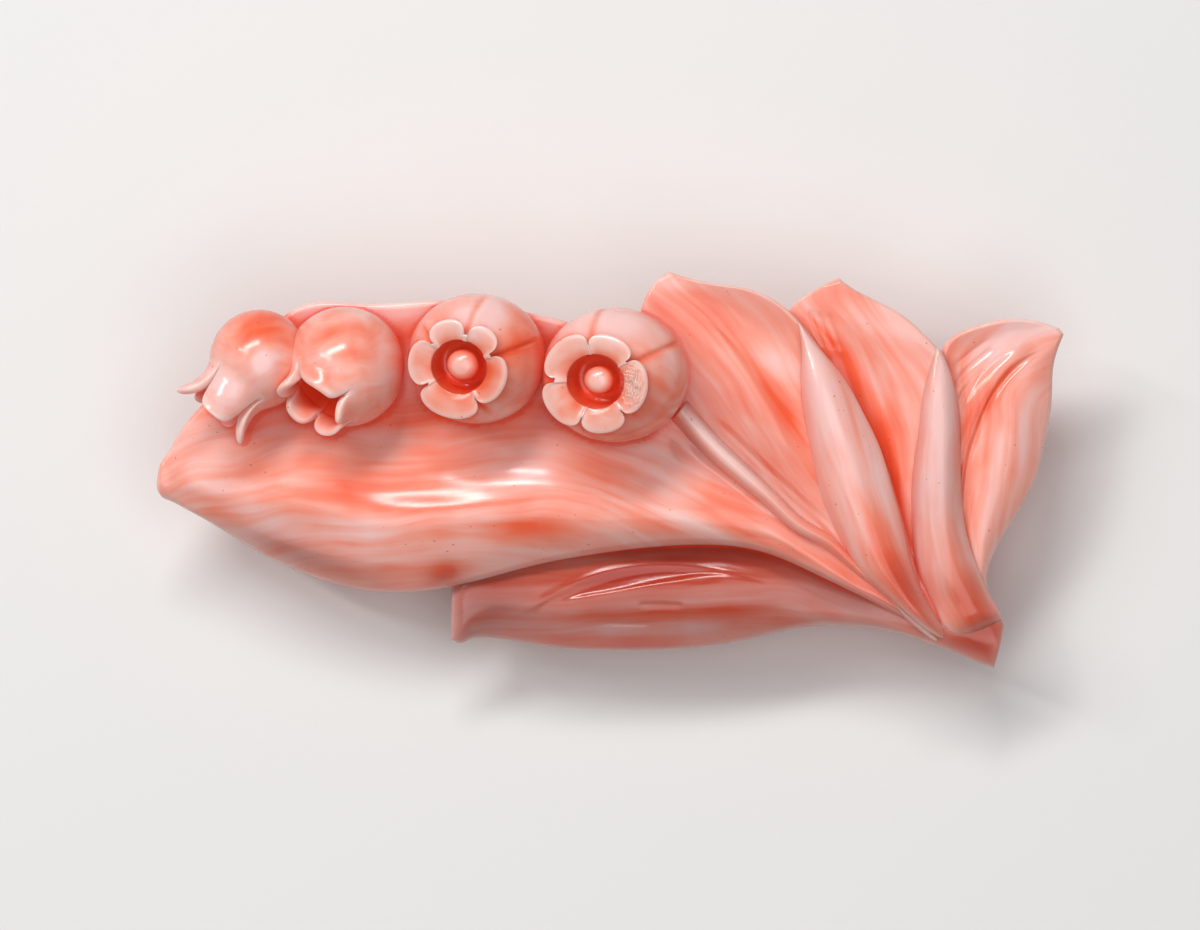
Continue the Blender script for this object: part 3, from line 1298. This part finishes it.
    def build(self) -> bpy.types.Object:
        """Models the bell.

        Returns:
            The bell's mesh object, with its place in its mesh.
        """
        angles, shares, owners = self.columns()
        globe = self.globe(angles)
        outer, inner, to_tip = self.petal_sides(shares, owners)
        blend = np.linspace(1, 0, ROOT_ROWS)[:, None, None] ** 2
        outer[:ROOT_ROWS] += (globe[-1] - outer[0]) * blend
        mouth = self.mouth(inner[-1])
        profile = np.concatenate([globe[:-1], outer, inner, mouth])
        profile[[0, -1], :, 0] = 0.0

        thin = self.rim_map(profile, angles, owners, to_tip)
        knob_tone = soft_step(np.linspace(0, 1.4, PALE_KNOB_ROWS))
        thin[-PALE_KNOB_ROWS:] = KNOB_PALE * knob_tone[:, None]
        stain = self.groove_stain(angles, profile)
        stain += MOUTH_RED * self.mouth_tone(thin.shape, len(mouth))
        points = self.turned(profile, angles)
        for spot in self.stains:
            offset = (points[:, :, :2] - np.array([spot.x, spot.y])) / spot.reach
            stain += spot.strength * np.exp(-(offset ** 2).sum(axis=2))
        self.pit(points, thin)
        flow = points * np.array(BELL_GRAIN) + np.array([0, 0, self.seed])
        points = points + np.array(self.middle) + np.array([0, 0, BACK_PLANE])
        layers = {"flow": flow, "stain": stain, "thin": thin, "shade": np.zeros_like(stain)}
        return closed_shell(self.name, points, layers)


BELLS = (
    Bell(
        "first_bell", middle=(-23.0, 7.3, 6.8), radius=3.25, facing=(-0.63, -0.75, 0.20),
        seat=50, depth=0.3, knob=0.6, knob_top=1.2, seed=101.0, web=0.16,
        petals=(
            Petal(-105, 30, 2.8, -40, 40, 0.5, 2.0),
            Petal(-38, 33, 3.6, -30, 48, 0.95, 1.7),
            Petal(48, 45, 3.5, -30, 32, 0.85, 2.8),
            Petal(127, 31, 3.7, -26, 50, 1.0, 1.7),
            Petal(190, 29, 2.8, -40, 40, 0.5, 2.0),
        ),
        stains=(
            Spot(0.4, -0.2, 1.0, -1.4), Spot(-1.4, -1.6, 1.6, -1.2), Spot(0.6, 2.6, 2.0, 1.0),
        ),
    ),
    Bell(
        "second_bell", middle=(-17.4, 6.8, 7.1), radius=3.93, facing=(-0.50, -0.65, 0.57),
        seat=46, depth=0.4, knob=0.7, knob_top=1.4, seed=113.0, web=0.3,
        petals=(
            Petal(-75, 36, 1.8, -44, 26, 0.6, 2.6),
            Petal(-9, 27, 2.2, -40, 26, 0.85, 1.6),
            Petal(69, 46, 1.7, -40, 4, 0.95, 3.0, 0.3),
            Petal(149, 30, 2.2, -36, 34, 0.9, 2.2),
            Petal(214, 31, 1.9, -40, 22, 0.8, 2.8),
        ),
        stains=(
            Spot(-1.0, 0.4, 1.0, -0.8), Spot(1.2, 1.4, 1.8, 0.9), Spot(0.4, 3.4, 1.6, -0.6),
        ),
    ),
    Bell(
        "third_bell", middle=(-8.74, 7.34, 7.25), radius=4.4, facing=(-0.25, -0.15, 0.96),
        seat=26, depth=2.3, knob=1.05, knob_top=3.9, seed=127.0, cup=1.15, web=0.3,
        stretch=(1.027, 0.97),
        petals=(
            Petal(107, 27, 1.5, 68, 118, 0.6, 2.3),
            Petal(49, 24, 1.5, 68, 118, 0.6, 2.2),
            Petal(-22, 40, 1.45, 66, 128, 0.55, 2.8),
            Petal(-106, 42, 1.75, 68, 112, 0.5, 3.0),
            Petal(174, 34, 1.6, 68, 120, 0.5, 2.6),
        ),
        grooves=(
            Groove(79, 100, 0.13, 0.2), Groove(18, 90), Groove(-66, 70), Groove(-147, 70),
            Groove(140, 70),
        ),
        stains=(
            Spot(0.6, 3.4, 2.2, -1.2), Spot(3.2, 1.0, 1.6, 1.4), Spot(2.0, -2.6, 2.0, 0.6),
        ),
    ),
    Bell(
        "fourth_bell", middle=(0.31, 6.28, 7.3), radius=4.6, facing=(-0.28, -0.12, 0.95),
        seat=25, depth=2.4, knob=0.95, knob_top=4.15, seed=139.0, cup=1.15, web=0.42,
        stretch=(1.045, 0.958),
        petals=(
            Petal(137, 38, 1.75, 68, 118, 0.5, 2.8),
            Petal(66, 31, 1.5, 68, 125, 0.5, 2.8),
            Petal(-8, 40, 1.6, 68, 128, 0.5, 3.0),
            Petal(-79, 29, 1.75, 68, 115, 0.5, 2.6),
            Petal(-144, 34, 1.85, 68, 112, 0.5, 2.6),
        ),
        grooves=(
            Groove(98, 110, 0.14, 0.2), Groove(28, 110, 0.12, 0.2), Groove(-46, 60),
            Groove(-110, 70), Groove(180, 70),
        ),
        stains=(
            Spot(0.6, 3.2, 2.4, -0.8), Spot(3.6, 0.6, 2.0, -0.5), Spot(1.0, -3.6, 2.4, 0.9),
            Spot(2.2, 2.4, 1.2, 0.4),
        ),
        pits=(Pitting(1.15, -0.75, 0.62, 1.25, 0.24),),
    ),
)


# Sky

@dataclass
class SkyBake:
    """Works out how much of the sky above each point the carving itself hides."""

    cell: float = 0.2 * MM
    half_x: float = 31.0 * MM
    half_y: float = 14.5 * MM
    slack: float = 0.08 * MM
    reaches: tuple = (0.35, 0.6, 1.0, 1.5, 2.2, 3.2, 4.6, 6.5)
    headings: int = 16
    roof_height: float = 1.2 * MM
    roof_share: float = 0.9

    def places(self, piece: bpy.types.Object) -> np.ndarray:
        """A piece's points, in metres."""
        flat = np.empty(len(piece.data.vertices) * 3, np.float32)
        piece.data.vertices.foreach_get("co", flat)
        return flat.reshape(-1, 3)

    def look_up(self, heights: np.ndarray, x: np.ndarray, y: np.ndarray) -> np.ndarray:
        """Reads the height map at places in plan, between its cells' middles."""
        u = np.clip((x + self.half_x) / self.cell - 0.5, 0, heights.shape[1] - 1.001)
        v = np.clip((y + self.half_y) / self.cell - 0.5, 0, heights.shape[0] - 1.001)
        column, row = u.astype(int), v.astype(int)
        u, v = u - column, v - row
        near = heights[row, column] * (1 - u) + heights[row, column + 1] * u
        far = heights[row + 1, column] * (1 - u) + heights[row + 1, column + 1] * u
        return near * (1 - v) + far * v

    def height_map(self, clouds: list[np.ndarray]) -> np.ndarray:
        """Draws the highest point of each cell, with lone empty cells filled in."""
        shape = (int(2 * self.half_y / self.cell), int(2 * self.half_x / self.cell))
        heights = np.zeros(shape, np.float32)
        for cloud in clouds:
            column = ((cloud[:, 0] + self.half_x) / self.cell).astype(int)
            row = ((cloud[:, 1] + self.half_y) / self.cell).astype(int)
            np.maximum.at(heights, (row, column), cloud[:, 2])
        beside = np.maximum(np.roll(heights, 1, 0), np.roll(heights, 1, 1))
        other = np.maximum(np.roll(heights, -1, 0), np.roll(heights, -1, 1))
        heights = np.where(heights == 0, np.minimum(beside, other), heights)
        for axis in (0, 1):
            heights = (np.roll(heights, 1, axis) + 2 * heights + np.roll(heights, -1, axis)) / 4
        return heights

    def bake(self, pieces: list[bpy.types.Object]) -> None:
        """Writes the attribute hollow on each piece.

        Args:
            pieces: the shells of the carving.
        """
        clouds = [self.places(piece) for piece in pieces]
        heights = self.height_map(clouds)
        for piece, cloud in zip(pieces, clouds):
            x, y, z = cloud.T
            hidden = np.zeros(len(cloud), np.float32)
            for number in range(self.headings):
                angle = 2 * math.pi * number / self.headings
                horizon = np.zeros(len(cloud), np.float32)
                for reach in self.reaches:
                    far = reach * MM
                    seen_x, seen_y = x + far * math.cos(angle), y + far * math.sin(angle)
                    seen = self.look_up(heights, seen_x, seen_y)
                    horizon = np.maximum(horizon, (seen - z - self.slack) / far)
                hidden += horizon ** 2 / (1 + horizon ** 2) / self.headings
            roof = self.look_up(heights, x, y) - z
            under = soft_step(roof / self.roof_height) * self.roof_share
            hidden = np.maximum(hidden, under)
            layer = piece.data.attributes.new("hollow", "FLOAT", "POINT")
            layer.data.foreach_set("value", hidden.astype(np.float32))


# Stage

@dataclass
class Studio:
    """Floor, lights and camera."""

    frame_width: float = 78.9 * MM
    lens: float = 200.0
    focus_height: float = 12.0 * MM
    aim: tuple = (-0.66 * MM, 0.36 * MM)

    def floor(self) -> None:
        """Adds the floor, marked as stage."""
        deselect()
        bpy.ops.mesh.primitive_plane_add(size=3.0, location=(0, 0, 0))
        floor = bpy.context.object
        floor.name = "floor"
        floor.data.materials.append(FloorFinish().build())

    def light(self, name: str, place: tuple, size: tuple, power: float) -> None:
        """Adds a soft box that looks at the clip.

        Args:
            name: the light's name.
            place: where it stands, in metres.
            size: its width and height, in metres.
            power: in watts.
        """
        bpy.ops.object.light_add(type="AREA", location=place)
        lamp = bpy.context.object
        lamp.name = name
        lamp.data.shape = "RECTANGLE"
        lamp.data.size, lamp.data.size_y = size
        lamp.data.energy = power
        lamp.rotation_euler = (-Vector(place)).to_track_quat("-Z", "Y").to_euler()

    def camera(self) -> None:
        """Adds the camera, which looks straight down as in the photograph."""
        sensor = 36.0
        distance = self.lens / sensor * self.frame_width
        place = (*self.aim, self.focus_height + distance)
        bpy.ops.object.camera_add(location=place, rotation=(0, 0, 0))
        camera = bpy.context.object
        camera.data.lens = self.lens
        camera.data.sensor_width = sensor
        camera.data.clip_start = 0.01
        bpy.context.scene.camera = camera

    def build(self) -> None:
        """Sets the stage."""
        self.floor()
        key_size, fill_size, strip_size = (0.34, 0.075), (0.5, 0.5), (0.03, 0.22)
        self.light("key_box", (-0.15, 0.30, 0.45), key_size, 1.9)
        self.light("fill_box", (0.06, -0.10, 0.6), fill_size, 1.6)
        self.light("strip_box", (-0.30, 0.16, 0.40), strip_size, 0.45)
        world = bpy.data.worlds.new("studio_air")
        world.use_nodes = True
        air = world.node_tree.nodes["Background"].inputs
        air["Color"].default_value = (0.9, 0.92, 1.0, 1.0)
        air["Strength"].default_value = 0.13
        bpy.context.scene.world = world
        bpy.context.scene.view_settings.view_transform = "Standard"
        self.camera()


def main() -> None:
    """Builds the clip on the frame, piece by piece."""
    logging.basicConfig(level=logging.INFO, format="%(name)s: %(message)s")
    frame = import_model()
    coral = CoralFinish().build()
    pieces = [part.build() for part in LEAVES + BELLS]
    SkyBake().bake(pieces)
    for piece in pieces:
        piece.data.materials.append(coral)
        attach(piece, "root")
        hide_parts(CARVING)
        LOG.info("%s: %d faces", piece.name, len(piece.data.polygons))
    fitting = frame["nodes"][FITTING]
    fitting.data.materials.clear()
    fitting.data.materials.append(MetalFinish().build())
    Studio().build()


if __name__ == "__main__":
    main()
